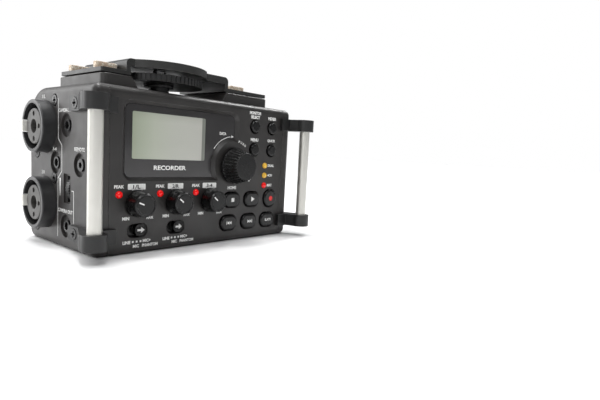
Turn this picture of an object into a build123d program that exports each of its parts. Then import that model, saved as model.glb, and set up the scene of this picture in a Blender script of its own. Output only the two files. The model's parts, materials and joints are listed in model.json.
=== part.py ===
"""Portable multichannel recorder that screws between a tripod and a camera.

Frame: millimetres, +Z up, the control panel faces -Y and +X is to the right of a person
who reads the panel. The origin is the mouth of the tripod thread in the bottom face.
Places are given as (across, depth, height): across from the left side face, depth behind
the front face, height above the bottom face.
"""

import os
from math import atan2, cos, degrees, radians, sin

from build123d import *

os.makedirs("parts", exist_ok=True)

# ---- driving dimensions ---------------------------------------------------------------
WIDTH = 118.5  # over the two side panels
DEPTH = 66.7  # front face to rear face
HEIGHT = 73.0  # bottom face to top face
WALL = 2.5  # side, top, bottom and rear walls
FRONT_WALL = 3.2
CAP_WIDTH = 6.4  # how far each side panel wraps round onto the front
SEAM = 0.3  # visible gap between casing parts
TONGUE = 2.4  # inner rim of a side panel that closes the seam from inside
TONGUE_THICKNESS = 1.3
EDGE_RADIUS = 3.1  # rounding round the outer face of a side panel
LOW_FRONT_RADIUS = 3.6
LOW_REAR_RADIUS = 4.5
TOP_REAR_RADIUS = 15.5
TOP_FRONT_RADIUS = 3.3
FRONT_LIP = 5.0  # depth of the front panel's rim
TOP_COVER_LOW = 56.0  # height where the top cover meets the rear panel
BOTTOM_COVER_HIGH = 7.0  # height where the rear panel meets the bottom cover
FIT = 0.05  # clearance of a shaft in its bore

# controls on the front panel: (across, height)
BOARD_DEPTH = 9.5  # front face of the front board behind the panel's face
BOARD_THICKNESS = 1.6
CHANNELS = 3
CHANNEL_PITCH = 20.15
KNOB_FIRST = (19.6, 22.5)
KNOB_BASE_RADIUS = 5.85
KNOB_TIP_RADIUS = 5.05
KNOB_HEIGHT = 7.6
KNOB_POINTER_LEAN = (67, 51, 49)  # how far each pointer leans left of upright, degrees
SHAFT_RADIUS = 3.0
SHAFT_HOLE_RADIUS = 3.3
PEAK_FIRST = (11.1, 26.8)
LIGHT_RADIUS = 1.6
AMBER_LIGHTS = ((98.4, 40.6), (98.4, 35.1))
RECORD_LIGHT = (98.4, 29.5)
SWITCH_CENTRES = ((20.2, 10.5), (40.3, 10.5))
SWITCH_SLOT = (10.0, 6.0)
SWITCH_KNOB = (5.4, 5.3)
SWITCH_REST = 2.05  # the knob's centre right of the slot's centre at rest
DIAL_CENTRE = (75.5, 40.1)
DIAL_BASE_RADIUS = 9.6
DIAL_TIP_RADIUS = 7.3
DIAL_HEIGHT = 9.8
DIAL_FLUTES = 30
FLUTE_RADIUS = 0.66
KNOB_GAP = 0.6  # between a knob's skirt and the panel
ROUND_BUTTONS = {
    "monitor_button": (89.7, 61.5),
    "mixer_button": (102.9, 61.5),
    "menu_button": (89.7, 49.1),
    "quick_button": (102.9, 49.1),
}
ROUND_BUTTON_RADIUS = 3.15
KEYS = {
    "stop_key": (74.7, 22.2),
    "play_key": (89.1, 22.1),
    "record_key": (103.3, 22.0),
    "previous_key": (72.9, 10.1),
    "next_key": (87.4, 10.0),
    "slate_key": (101.7, 9.9),
}
BUTTONS = {**ROUND_BUTTONS, **KEYS}
KEY_SIZE = (10.8, 7.6)
RECORD_KEY_SIZE = (9.6, 9.4)
BUTTON_GAP = 0.35
BUTTON_RISE = 1.2  # how far a button stands out of the panel
BUTTON_TRAVEL_GAP = 0.9  # between a button's stem and its switch
SWITCH_TOP = 6.0  # depth of the tact switches' actuators

# display
POCKET = (14.0, 34.0, 76.5, 66.3)  # left, low, right, high
POCKET_CORNER = 3.0
POCKET_DEPTH = 2.6
POCKET_BEVEL = 1.5
POCKET_DIAL_RADIUS = 14.2  # the pocket's lower right corner curves round the dial
WINDOW_THICKNESS = 1.1
SCREEN = (17.6, 42.3, 57.1, 63.0)  # visible area: left, low, right, high
SCREEN_BORDER = 2.0

# left side: (depth, height)
COMBO_CENTRES = {"upper": (47.0, 54.5), "lower": (47.0, 19.3)}
COLLAR_RADIUS = 12.0
COLLAR_INNER = 10.4
COLLAR_OUT = 6.1
COLLAR_NOTCH = 5.6
NOTCH_FLOOR = 0.5  # the notch ends this far outside the side face
LATCH_OUT = 7.0  # outer end of a release latch outside the side face
LATCH_RADII = (9.1, 12.1)  # inner and outer face of a latch from the socket's axis
LATCH_GAP = 0.25
LATCH_FOOT_DEPTH = 2.0  # inner end of a latch outside the side face
SOCKET_INSIDE = 22.0  # how far a combo socket reaches into the casing
XLR_DEPTH = 14.0
CORE_RADIUS = 8.15
CORE_OUT = 5.3
PIN_CIRCLE = 5.7
PIN_RADIUS = 1.15
PLUG_RADIUS = 3.2  # quarter-inch plug
PLUG_LENGTH = 26.0
COMBO_SCREW_OFFSET = (9.5, 12.0)
JACK_CENTRES = {"camera_in": (25.6, 55.3), "camera_out": (25.6, 10.6), "line_in": (36.35, 38.5)}
REMOTE_CENTRE = (12.8, 38.5)
JACK_RADIUS = 1.8
JACK_LENGTH = 14.0
REMOTE_RADIUS = 1.28
REMOTE_LENGTH = 11.0
JACK_NOSE_RADIUS = 2.7
JACK_NOSE_INSET = 0.3
JACK_BODY = 8.0
DISH_RADIUS = 5.2
DISH_DEPTH = 1.4
WHEEL_DEPTH = 24.4  # middle of a thumb wheel's width behind the front
LEFT_WHEEL_HEIGHT = 27.2
THUMB_RADIUS = 7.0
THUMB_WIDTH = 3.2
THUMB_INSET = 6.9  # a thumb wheel's centre inside the side face
THUMB_RIBS = 36
THUMB_AXLE = 1.5

# right side: (depth, height)
RIGHT_JACK_CENTRES = {"phones": (26.0, 55.3), "line_out": (26.0, 10.6)}
RIGHT_WHEEL_HEIGHT = 33.0
HOLD_CENTRE = (12.5, 40.0)
CARD_DOOR = (38.0, 22.0, 62.0, 42.0)  # front, low, rear, high

# handles
BAR_OUT = 3.6  # bar axis outside the side face
BAR_FORWARD = 8.2  # bar axis in front of the front face
BAR_RADIUS = 2.9
BRACKET_RADIUS = 5.0
BRACKETS = ((5.7, 12.3), (61.1, 67.7))  # low and high face of each bracket
BRACKET_TAB = 2.2
BRACKET_SIDE_REACH = 18.5
BRACKET_FRONT_REACH = 9.0
BRACKET_SCREW_DEPTH = 13.0

# camera platform
PLATFORM_INSET = 8.9
PLATFORM_DEPTHS = (11.2, 54.8)
PLATFORM_TOP = 78.9
CHANNEL_TOP = (22.5, 78.5)
CHANNEL_FLOOR = (26.0, 75.0)
CHANNEL_LOW = 73.4
PLATE_LOW = 79.5
PLATE_TOP = 81.3
PLATE_INSET = 9.1
PLATE_DEPTHS = (12.3, 53.0)
BRIDGE = (20.5, 80.0)
BRIDGE_TOP = 87.0
BRIDGE_SKIN = 2.0
BRIDGE_LIP_LOW = 83.4
BRIDGE_WALL = 2.2
BRIDGE_BEND = 2.4  # rounding along the bridge's left and right top edges
LIP_WIDTH = 1.8
SCREW_CENTRE = (45.0, 24.5)
BULGE_RADIUS = 23.6
CAMERA_WHEEL_RADIUS = 21.5
CAMERA_WHEEL_LOW = 78.2
CAMERA_WHEEL_THICKNESS = 3.3
CAMERA_WHEEL_RIBS = 60
WHEEL_GROOVE = (1.0, 0.75)
CAMERA_HUB_RADIUS = 5.0
COLLAR_THICKNESS = 1.0  # the collar round the hub lifts the wheel without turning
SCREW_RADIUS = 3.175  # quarter-inch camera thread
SCREW_TIP = 86.8
INSERT_RADIUS = 6.0
INSERT_DEPTH = 7.0
PAD_STRIPS = ((10.0, 20.0), (88.0, 98.0))
PAD_MIDDLES = (20.85, 45.05)
PAD_WIDTH = 2.9
PAD_HEIGHT = 3.2
PLATE_SCREWS = ((14.6, 32.6), (103.9, 32.6), (84.5, 16.5), (84.5, 48.8))
PILLARS = ((22.0, 15.0), (96.5, 15.0), (28.4, 56.0), (97.0, 56.0))
PILLAR_RADIUS = 2.6

# battery bay behind the rear panel
CELL_RADIUS = 7.25
CELL_LENGTH = 50.5
CELL_LEFT = 36.2
CELL_DEPTHS = (41.6, 56.2)
CELL_HEIGHTS = (18.4, 33.0)
BAY = (33.0, 33.0, 91.0, 63.9)  # left, front, right, rear of the holder
BAY_HEIGHTS = (10.0, 41.4)
BAY_WALL = 1.0
DOOR = (33.0, 9.0, 91.0, 42.4)  # left, low, right, high
DOOR_GAP = 0.3
DOOR_THICKNESS = 2.0
DOOR_HINGE_INSET = 1.2  # hinge axis inside a door's outer face and its hinged edge
DOOR_PIN_RADIUS = 0.8
DOOR_PIN_LENGTH = 1.2

# screws: M3 pan heads
SCREW_HEAD_RADIUS = 2.45
SCREW_HEAD_HEIGHT = 1.5
SCREW_SHANK_RADIUS = 1.2
COUNTERBORE_DEPTH = 1.3
RECESS_SIZE = (2.9, 0.8)  # one bar of the cross-shaped driver recess
RECESS_DEPTH = 0.8

MIDDLE = WIDTH / 2
CORE_LEFT = CAP_WIDTH + SEAM / 2
CORE_RIGHT = WIDTH - CAP_WIDTH - SEAM / 2


# ---- planes and shared shapes ---------------------------------------------------------
def front_plane(depth=0.0):
    """Plane `depth` behind the front face: X across, Y up, normal towards the reader."""
    return Plane(origin=(-MIDDLE, -DEPTH / 2 + depth, 0), x_dir=(1, 0, 0), z_dir=(0, -1, 0))


def side_plane(across=0.0):
    """Plane `across` from the left side: X is depth, Y is height, normal to the right."""
    return Plane(origin=(-MIDDLE + across, -DEPTH / 2, 0), x_dir=(0, 1, 0), z_dir=(1, 0, 0))


def level_plane(height=0.0):
    """Level plane at a height: X is across, Y is depth."""
    return Plane(origin=(-MIDDLE, -DEPTH / 2, height), x_dir=(1, 0, 0), z_dir=(0, 0, 1))


def bar(plane, centre, radius, length, mode=Mode.ADD):
    """Round bar that starts on a plane and runs along its normal."""
    with BuildSketch(plane) as section:
        with Locations(centre):
            Circle(radius)
    extrude(section.sketch, amount=length, mode=mode)


def block(low, high, mode=Mode.ADD):
    """Box between two corners given as (across, depth, height)."""
    with BuildSketch(level_plane(low[2])) as base:
        with Locations(((low[0] + high[0]) / 2, (low[1] + high[1]) / 2)):
            Rectangle(high[0] - low[0], high[1] - low[1])
    extrude(base.sketch, amount=high[2] - low[2], mode=mode)


def casing_tube(start, end, inset, mode=Mode.ADD):
    """Solid bar between two distances from the left, its section the casing's side outline."""
    far = DEPTH - inset
    high = HEIGHT - inset
    outer = (LOW_FRONT_RADIUS, LOW_REAR_RADIUS, TOP_REAR_RADIUS, TOP_FRONT_RADIUS)
    radii = [max(radius - inset, 0.6) for radius in outer]
    corners = [(inset, inset), (far, inset), (far, high), (inset, high)]
    with BuildSketch(side_plane(start)) as section:
        with BuildLine():
            FilletPolyline(*corners, radius=radii, close=True)
        make_face()
    extrude(section.sketch, amount=end - start, mode=mode)


def casing_shell():
    """The casing's middle stretch between the two side seams, open at both ends."""
    casing_tube(CORE_LEFT, CORE_RIGHT, 0)
    casing_tube(CORE_LEFT - 1, CORE_RIGHT + 1, WALL, Mode.SUBTRACT)


def finish(builder, name):
    """Name the piece and write it."""
    builder.part.label = name
    export_step(builder.part, f"parts/{name}.step")


def button_outline(name, grow=0.0):
    """Outline of a front panel button: round, or an oval with rounded ends."""
    if name in ROUND_BUTTONS:
        Circle(ROUND_BUTTON_RADIUS + grow)
    else:
        wide, high = RECORD_KEY_SIZE if name == "record_key" else KEY_SIZE
        RectangleRounded(wide + 2 * grow, high + 2 * grow, high / 2 + grow - 0.3)


def pocket_outline(inset=0.0):
    """Display pocket: a rounded rectangle with one corner curved round the dial."""
    left, low, right, high = POCKET
    with Locations(((left + right) / 2, (low + high) / 2)):
        RectangleRounded(right - left - 2 * inset, high - low - 2 * inset, POCKET_CORNER - inset)
    with Locations(DIAL_CENTRE):
        Circle(POCKET_DIAL_RADIUS + inset, mode=Mode.SUBTRACT)


def channel_places(first):
    """Places of a control that repeats on each input channel."""
    return [(first[0] + channel * CHANNEL_PITCH, first[1]) for channel in range(CHANNELS)]


def combo_screw_places(depth, height):
    """Places of the two screws that hold a combo socket, on a diagonal through its centre."""
    along, up = COMBO_SCREW_OFFSET
    return [(depth - along, height + up), (depth + along, height - up)]


# ---- casing ---------------------------------------------------------------------------
with BuildPart() as front_panel:
    casing_shell()
    block((0, FRONT_LIP, -1), (WIDTH, DEPTH + 1, HEIGHT + 1), Mode.SUBTRACT)
    thick_left = CAP_WIDTH + TONGUE + SEAM
    block((thick_left, 1, WALL + 1.5), (WIDTH - thick_left, FRONT_WALL, HEIGHT - WALL - 1.5))
    with BuildSketch(front_plane()):
        pocket_outline()
    extrude(amount=-POCKET_DEPTH, mode=Mode.SUBTRACT)
    on_face = front_panel.edges().filter_by_position(Axis.Y, -DEPTH / 2 - 0.01, -DEPTH / 2 + 0.01)
    pocket_left = POCKET[0] - MIDDLE - 0.1
    pocket_right = POCKET[2] - MIDDLE + 0.1
    pocket_rim = on_face.filter_by_position(Axis.X, pocket_left, pocket_right)
    pocket_rim = pocket_rim.filter_by_position(Axis.Z, POCKET[1] - 0.1, POCKET[3] + 0.1)
    chamfer(pocket_rim, POCKET_BEVEL)
    with BuildSketch(front_plane()):
        with Locations(((SCREEN[0] + SCREEN[2]) / 2, (SCREEN[1] + SCREEN[3]) / 2)):
            Rectangle(SCREEN[2] - SCREEN[0] + 1, SCREEN[3] - SCREEN[1] + 1)
        with Locations(DIAL_CENTRE, *channel_places(KNOB_FIRST)):
            Circle(SHAFT_HOLE_RADIUS)
        with Locations(*channel_places(PEAK_FIRST), *AMBER_LIGHTS, RECORD_LIGHT):
            Circle(LIGHT_RADIUS + FIT)
    extrude(amount=-FRONT_WALL - 1, mode=Mode.SUBTRACT)
    before = front_panel.edges()
    with BuildSketch(front_plane()):
        with Locations(*SWITCH_CENTRES):
            SlotOverall(*SWITCH_SLOT)
        for name, centre in BUTTONS.items():
            with Locations(centre):
                button_outline(name, BUTTON_GAP)
    extrude(amount=-FRONT_WALL - 1, mode=Mode.SUBTRACT)
    on_face = front_panel.edges().filter_by_position(Axis.Y, -DEPTH / 2 - 0.01, -DEPTH / 2 + 0.01)
    chamfer(on_face - before, 0.35)
finish(front_panel, "front_panel")


def side_shell(builder, left):
    """Side panel: a rounded cap with its outer face on one side, and a tongue."""
    if left:
        outer, floor, inner, end = 0, WALL, CAP_WIDTH, CAP_WIDTH + TONGUE
    else:
        outer, floor, inner, end = [WIDTH - d for d in (0, WALL, CAP_WIDTH, CAP_WIDTH + TONGUE)]
    casing_tube(min(outer, inner), max(outer, inner), 0)
    outer_face = builder.faces().sort_by(Axis.X)[0 if left else -1]
    fillet(outer_face.edges(), EDGE_RADIUS)
    casing_tube(min(floor, end), max(floor, end), WALL + 0.1)
    hollow_end = end + (1 if left else -1)
    inset = WALL + 0.1 + TONGUE_THICKNESS
    casing_tube(min(floor, hollow_end), max(floor, hollow_end), inset, Mode.SUBTRACT)


def side_holes(face, outward, jacks, wheel_height):
    """Jack dishes and noses, bracket screw holes and the thumb wheel's slot on a side."""
    with BuildSketch(side_plane(face)) as holes:
        with Locations(*jacks):
            Circle(DISH_RADIUS)
    extrude(holes.sketch, amount=-outward * DISH_DEPTH, mode=Mode.SUBTRACT)
    with BuildSketch(side_plane(face)) as holes:
        with Locations(*jacks):
            Circle(JACK_NOSE_RADIUS + FIT)
        for low, high in BRACKETS:
            with Locations((BRACKET_SCREW_DEPTH, (low + high) / 2)):
                Circle(SCREW_SHANK_RADIUS + FIT)
    extrude(holes.sketch, amount=-outward * (WALL + 1), mode=Mode.SUBTRACT)
    with BuildSketch(side_plane(face)) as holes:
        with Locations((WHEEL_DEPTH + 0.2, wheel_height + 0.2)):
            Rectangle(6.7, 13.2)
    extrude(holes.sketch, amount=-outward * 1.0, mode=Mode.SUBTRACT)
    with BuildSketch(side_plane(face)) as holes:
        with Locations((WHEEL_DEPTH, wheel_height)):
            Rectangle(THUMB_WIDTH + 0.6, 11.8)
    extrude(holes.sketch, amount=-outward * (WALL + 1), mode=Mode.SUBTRACT)


with BuildPart() as left_side_panel:
    side_shell(left_side_panel, left=True)
    side_holes(0, -1, [*JACK_CENTRES.values(), REMOTE_CENTRE], LEFT_WHEEL_HEIGHT)
    for depth, height in COMBO_CENTRES.values():
        bar(side_plane(-1), (depth, height), COLLAR_RADIUS + 0.15, WALL + 2, Mode.SUBTRACT)
        for place in combo_screw_places(depth, height):
            bar(side_plane(-1), place, SCREW_HEAD_RADIUS + 0.45, 1 + COUNTERBORE_DEPTH, Mode.SUBTRACT)
            bar(side_plane(0), place, SCREW_SHANK_RADIUS + FIT, WALL + 1, Mode.SUBTRACT)
finish(left_side_panel, "left_side_panel")

with BuildPart() as right_side_panel:
    side_shell(right_side_panel, left=False)
    side_holes(WIDTH, 1, list(RIGHT_JACK_CENTRES.values()), RIGHT_WHEEL_HEIGHT)
    with BuildSketch(side_plane(WIDTH)):
        with Locations(HOLD_CENTRE):
            SlotOverall(9.6, 4.0, rotation=90)
    extrude(amount=-WALL - 1, mode=Mode.SUBTRACT)
    block(
        (WIDTH - WALL - 1, CARD_DOOR[0] - DOOR_GAP, CARD_DOOR[1] - DOOR_GAP),
        (WIDTH + 1, CARD_DOOR[2] + DOOR_GAP, CARD_DOOR[3] + DOOR_GAP),
        Mode.SUBTRACT,
    )
    card_axis = (WIDTH - DOOR_HINGE_INSET, CARD_DOOR[2] - DOOR_HINGE_INSET)
    bore_low = CARD_DOOR[1] - DOOR_PIN_LENGTH - 0.2
    bore_length = CARD_DOOR[3] - CARD_DOOR[1] + 2 * DOOR_PIN_LENGTH + 0.4
    bar(level_plane(bore_low), card_axis, DOOR_PIN_RADIUS + FIT, bore_length, Mode.SUBTRACT)
finish(right_side_panel, "right_side_panel")

with BuildPart() as top_cover:
    casing_shell()
    block((0, -1, -1), (WIDTH, DEPTH + 1, TOP_COVER_LOW + SEAM / 2), Mode.SUBTRACT)
    block((0, -1, 0), (WIDTH, FRONT_LIP + SEAM, HEIGHT + 1), Mode.SUBTRACT)
    front, rear = PLATFORM_DEPTHS
    with BuildSketch(level_plane(HEIGHT - 1)):
        with Locations((MIDDLE, (front + rear) / 2)):
            RectangleRounded(WIDTH - 2 * PLATFORM_INSET, rear - front, 3)
    extrude(amount=PLATFORM_TOP - HEIGHT + 1)
    fillet(top_cover.faces().sort_by(Axis.Z)[-1].edges(), 0.6)
    channel = [(CHANNEL_TOP[0], PLATFORM_TOP), (CHANNEL_FLOOR[0], CHANNEL_LOW)]
    channel += [(CHANNEL_FLOOR[1], CHANNEL_LOW), (CHANNEL_TOP[1], PLATFORM_TOP)]
    channel += [(CHANNEL_TOP[1], PLATFORM_TOP + 1), (CHANNEL_TOP[0], PLATFORM_TOP + 1)]
    with BuildSketch(front_plane(front - 1)):
        with BuildLine():
            Polyline(*channel, close=True)
        make_face()
    extrude(amount=-(rear - front + 2), mode=Mode.SUBTRACT)
    for place in PLATE_SCREWS:
        bar(level_plane(PLATFORM_TOP - 0.5), place, 3, PLATE_LOW - PLATFORM_TOP + 0.5)
        bar(level_plane(HEIGHT), place, SCREW_SHANK_RADIUS + FIT, 10, Mode.SUBTRACT)
    for place in PILLARS:
        bar(level_plane(WALL + 0.1), place, PILLAR_RADIUS, HEIGHT - WALL - 2.3)
        bar(level_plane(0), place, SCREW_SHANK_RADIUS + FIT, 11, Mode.SUBTRACT)
finish(top_cover, "top_cover")

with BuildPart() as bottom_cover:
    casing_shell()
    block((0, -1, BOTTOM_COVER_HIGH - SEAM / 2), (WIDTH, DEPTH + 1, HEIGHT + 1), Mode.SUBTRACT)
    block((0, -1, -1), (WIDTH, FRONT_LIP + SEAM, HEIGHT), Mode.SUBTRACT)
    bar(level_plane(WALL - 0.5), (MIDDLE, DEPTH / 2), INSERT_RADIUS + 2.5, 7)
    bar(level_plane(-1), (MIDDLE, DEPTH / 2), INSERT_RADIUS + FIT, 9, Mode.SUBTRACT)
    for place in PILLARS:
        bar(level_plane(-1), place, SCREW_HEAD_RADIUS + 0.15, 1 + SCREW_HEAD_HEIGHT, Mode.SUBTRACT)
        bar(level_plane(0), place, SCREW_SHANK_RADIUS + FIT, WALL + 1, Mode.SUBTRACT)
finish(bottom_cover, "bottom_cover")

with BuildPart() as rear_panel:
    block(
        (CORE_LEFT, DEPTH - WALL, BOTTOM_COVER_HIGH + SEAM / 2),
        (CORE_RIGHT, DEPTH, TOP_COVER_LOW - SEAM / 2),
    )
    block(
        (DOOR[0] - DOOR_GAP, DEPTH - WALL - 1, DOOR[1] - DOOR_GAP),
        (DOOR[2] + DOOR_GAP, DEPTH + 1, DOOR[3] + DOOR_GAP),
        Mode.SUBTRACT,
    )
    battery_axis = (DEPTH - DOOR_HINGE_INSET, DOOR[1] + DOOR_HINGE_INSET)
    bore_left = DOOR[0] - DOOR_PIN_LENGTH - 0.2
    bore_length = DOOR[2] - DOOR[0] + 2 * DOOR_PIN_LENGTH + 0.4
    bar(side_plane(bore_left), battery_axis, DOOR_PIN_RADIUS + FIT, bore_length, Mode.SUBTRACT)
finish(rear_panel, "rear_panel")

with BuildPart() as tripod_insert:
    bar(level_plane(0), (MIDDLE, DEPTH / 2), INSERT_RADIUS, 8)
    bar(level_plane(0), (MIDDLE, DEPTH / 2), SCREW_RADIUS, INSERT_DEPTH, Mode.SUBTRACT)
finish(tripod_insert, "tripod_insert")

# ---- display --------------------------------------------------------------------------
with BuildPart() as display_window:
    with BuildSketch(front_plane(POCKET_DEPTH)):
        pocket_outline(0.12)
    extrude(amount=WINDOW_THICKNESS)
finish(display_window, "display_window")

with BuildPart() as lcd_screen:
    block((SCREEN[0], 2.7, SCREEN[1]), (SCREEN[2], 4, SCREEN[3]))
    block(
        (SCREEN[0] - SCREEN_BORDER, 3.4, SCREEN[1] - SCREEN_BORDER),
        (SCREEN[2] + SCREEN_BORDER, BOARD_DEPTH, SCREEN[3] + SCREEN_BORDER),
    )
finish(lcd_screen, "lcd_screen")

# ---- boards and what sits on them -----------------------------------------------------
with BuildPart() as front_board:
    board_rear = BOARD_DEPTH + BOARD_THICKNESS
    block((9.6, BOARD_DEPTH, 4.5), (WIDTH - 9.6, board_rear, 68.5))
    notch_low = REMOTE_CENTRE[1] - JACK_BODY / 2 - 1
    block((9, BOARD_DEPTH - 1, notch_low), (14, board_rear + 1, notch_low + JACK_BODY + 2), Mode.SUBTRACT)
finish(front_board, "front_board")

with BuildPart() as main_board:
    block((30, 22, 12), (96, 22 + BOARD_THICKNESS, 66))
    block((44, 22 + BOARD_THICKNESS, 46), (64, 26, 60))
    block((72, 22 + BOARD_THICKNESS, 46), (84, 26, 58))
finish(main_board, "main_board")

with BuildPart() as encoder_body:
    with BuildSketch(front_plane(BOARD_DEPTH)):
        with Locations(DIAL_CENTRE):
            Rectangle(12.4, 12.4)
    extrude(amount=BOARD_DEPTH - 3.8)
    bar(front_plane(BOARD_DEPTH - 0.1), DIAL_CENTRE, SHAFT_RADIUS + FIT, BOARD_DEPTH, Mode.SUBTRACT)
finish(encoder_body, "encoder_body")

with BuildPart() as level_pots:
    with BuildSketch(front_plane(BOARD_DEPTH)):
        with Locations(*channel_places(KNOB_FIRST)):
            Rectangle(9.2, 9.2)
    extrude(amount=BOARD_DEPTH - 3.6)
    with BuildSketch(front_plane(BOARD_DEPTH - 1.5)):
        with Locations(*channel_places(KNOB_FIRST)):
            Circle(2 + FIT)
    extrude(amount=BOARD_DEPTH, mode=Mode.SUBTRACT)
    for centre, height in ((THUMB_INSET, LEFT_WHEEL_HEIGHT), (WIDTH - THUMB_INSET, RIGHT_WHEEL_HEIGHT)):
        near = WHEEL_DEPTH + THUMB_WIDTH / 2 + 0.4
        block((centre - 3.8, near, height - 4), (centre + 3.8, near + 4, height + 4))
        with BuildSketch(front_plane(near - 1)):
            with Locations((centre, height)):
                Circle(THUMB_AXLE + FIT)
        extrude(amount=-4.5, mode=Mode.SUBTRACT)
finish(level_pots, "level_pots")

with BuildPart() as switch_bodies:
    with BuildSketch(front_plane(BOARD_DEPTH)):
        with Locations(*SWITCH_CENTRES):
            Rectangle(12, 6.6)
    extrude(amount=BOARD_DEPTH - 4.7)
finish(switch_bodies, "switch_bodies")

with BuildPart() as tact_switches:
    with BuildSketch(front_plane(BOARD_DEPTH)):
        with Locations(*BUTTONS.values()):
            Rectangle(6, 6)
    extrude(amount=BOARD_DEPTH - SWITCH_TOP - 0.6)
    with BuildSketch(front_plane(BOARD_DEPTH - 1)):
        with Locations(*BUTTONS.values()):
            Circle(1.6)
    extrude(amount=BOARD_DEPTH - 1 - SWITCH_TOP)
finish(tact_switches, "tact_switches")


def lights(builder, places):
    """Round light pipes from the front board through the panel, with domed ends."""
    with BuildSketch(front_plane(BOARD_DEPTH)) as pipes:
        with Locations(*places):
            Circle(LIGHT_RADIUS)
    extrude(pipes.sketch, amount=BOARD_DEPTH + 1.2)
    tips = builder.faces().filter_by(Axis.Y).group_by(Axis.Y)[0]
    fillet(tips.edges(), LIGHT_RADIUS - 0.25)


with BuildPart() as red_lights:
    lights(red_lights, [*channel_places(PEAK_FIRST), RECORD_LIGHT])
finish(red_lights, "red_lights")

with BuildPart() as amber_lights:
    lights(amber_lights, AMBER_LIGHTS)
finish(amber_lights, "amber_lights")

# ---- data dial ------------------------------------------------------------------------
with BuildPart() as dial_plunger:
    bar(front_plane(BOARD_DEPTH - 0.9), DIAL_CENTRE, SHAFT_RADIUS - 0.4, 1.6)
finish(dial_plunger, "dial_plunger")

with BuildPart() as dial_shaft:
    bar(front_plane(BOARD_DEPTH - 2.5), DIAL_CENTRE, SHAFT_RADIUS, BOARD_DEPTH - 2.5 + 6)
finish(dial_shaft, "dial_shaft")

with BuildPart() as data_dial:
    dial_axis = Axis((DIAL_CENTRE[0] - MIDDLE, 0, DIAL_CENTRE[1]), (0, -1, 0))
    x, z = DIAL_CENTRE
    with BuildSketch(Plane(origin=(x - MIDDLE, -DEPTH / 2, z), x_dir=(1, 0, 0), z_dir=(0, 0, 1))):
        with BuildLine():
            Polyline(
                (0, -KNOB_GAP),
                (DIAL_BASE_RADIUS - 0.4, -KNOB_GAP),
                (DIAL_BASE_RADIUS, -KNOB_GAP - 0.4),
                (DIAL_BASE_RADIUS - 0.15, -2.2),
                (DIAL_TIP_RADIUS + 0.2, -DIAL_HEIGHT + 0.7),
                (DIAL_TIP_RADIUS - 0.5, -DIAL_HEIGHT),
                (0, -DIAL_HEIGHT),
                close=True,
            )
        make_face()
    revolve(axis=dial_axis)
    slope = degrees(atan2(DIAL_BASE_RADIUS - DIAL_TIP_RADIUS, DIAL_HEIGHT - 2.5))
    for flute in range(DIAL_FLUTES):
        turn = radians(360 * flute / DIAL_FLUTES)
        outward = Vector(cos(turn), 0, sin(turn))
        start = Vector(x - MIDDLE, -DEPTH / 2 - 2.4, z) + outward * (DIAL_BASE_RADIUS + 0.05)
        along = Vector(0, -cos(radians(slope)), 0) - outward * sin(radians(slope))
        with BuildSketch(Plane(origin=start, z_dir=along)):
            Circle(FLUTE_RADIUS)
        extrude(amount=DIAL_HEIGHT, mode=Mode.SUBTRACT)
    bar(front_plane(0), DIAL_CENTRE, SHAFT_RADIUS, 6, Mode.SUBTRACT)
finish(data_dial, "data_dial")

# ---- gain knobs -----------------------------------------------------------------------
for channel, (x, z) in enumerate(channel_places(KNOB_FIRST)):
    lean = radians(KNOB_POINTER_LEAN[channel])
    knob_axis = Axis((x - MIDDLE, 0, z), (0, -1, 0))
    with BuildPart() as gain_knob:
        with BuildSketch(Plane(origin=(x - MIDDLE, -DEPTH / 2, z), x_dir=(1, 0, 0), z_dir=(0, 0, 1))):
            with BuildLine():
                Polyline(
                    (0, BOARD_DEPTH - 2),
                    (2, BOARD_DEPTH - 2),
                    (2, 3.3),
                    (SHAFT_RADIUS, 3.3),
                    (SHAFT_RADIUS, -KNOB_GAP),
                    (KNOB_BASE_RADIUS, -KNOB_GAP),
                    (KNOB_TIP_RADIUS + 0.1, -KNOB_HEIGHT + 0.4),
                    (KNOB_TIP_RADIUS - 0.3, -KNOB_HEIGHT),
                    (KNOB_TIP_RADIUS - 0.6, -KNOB_HEIGHT),
                    (KNOB_TIP_RADIUS - 0.6, -KNOB_HEIGHT + 0.35),
                    (KNOB_TIP_RADIUS - 1.0, -KNOB_HEIGHT + 0.35),
                    (KNOB_TIP_RADIUS - 1.1, -KNOB_HEIGHT + 0.05),
                    (0, -KNOB_HEIGHT + 0.05),
                    close=True,
                )
            make_face()
        revolve(axis=knob_axis)
        face = Plane(
            origin=(x - MIDDLE, -DEPTH / 2 - KNOB_HEIGHT, z),
            x_dir=(-sin(lean), 0, cos(lean)),
            z_dir=(0, -1, 0),
        )
        with BuildSketch(face):
            with Locations((2.25, 0)):
                Rectangle(2.7, 0.7)
        extrude(amount=-0.2, mode=Mode.SUBTRACT)
    finish(gain_knob, f"gain_knob_{channel + 1}")

# ---- slide switches -------------------------------------------------------------------
for number, (x, z) in enumerate(SWITCH_CENTRES, start=1):
    knob_x = x + SWITCH_REST
    with BuildPart() as input_switch:
        block((knob_x - 7.3, 3.5, z - 3.7), (knob_x + 7.3, 4.4, z + 3.7))
        with BuildSketch(front_plane(4)):
            with Locations((knob_x, z)):
                RectangleRounded(*SWITCH_KNOB, 2.2)
        extrude(amount=3.3)
        with BuildSketch(front_plane(0.7)):
            with Locations(*[(knob_x + offset, z) for offset in (-1.8, -0.9, 0, 0.9, 1.8)]):
                Rectangle(0.4, 3.4)
        extrude(amount=-0.3, mode=Mode.SUBTRACT)
    finish(input_switch, f"input_switch_{number}")

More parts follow.
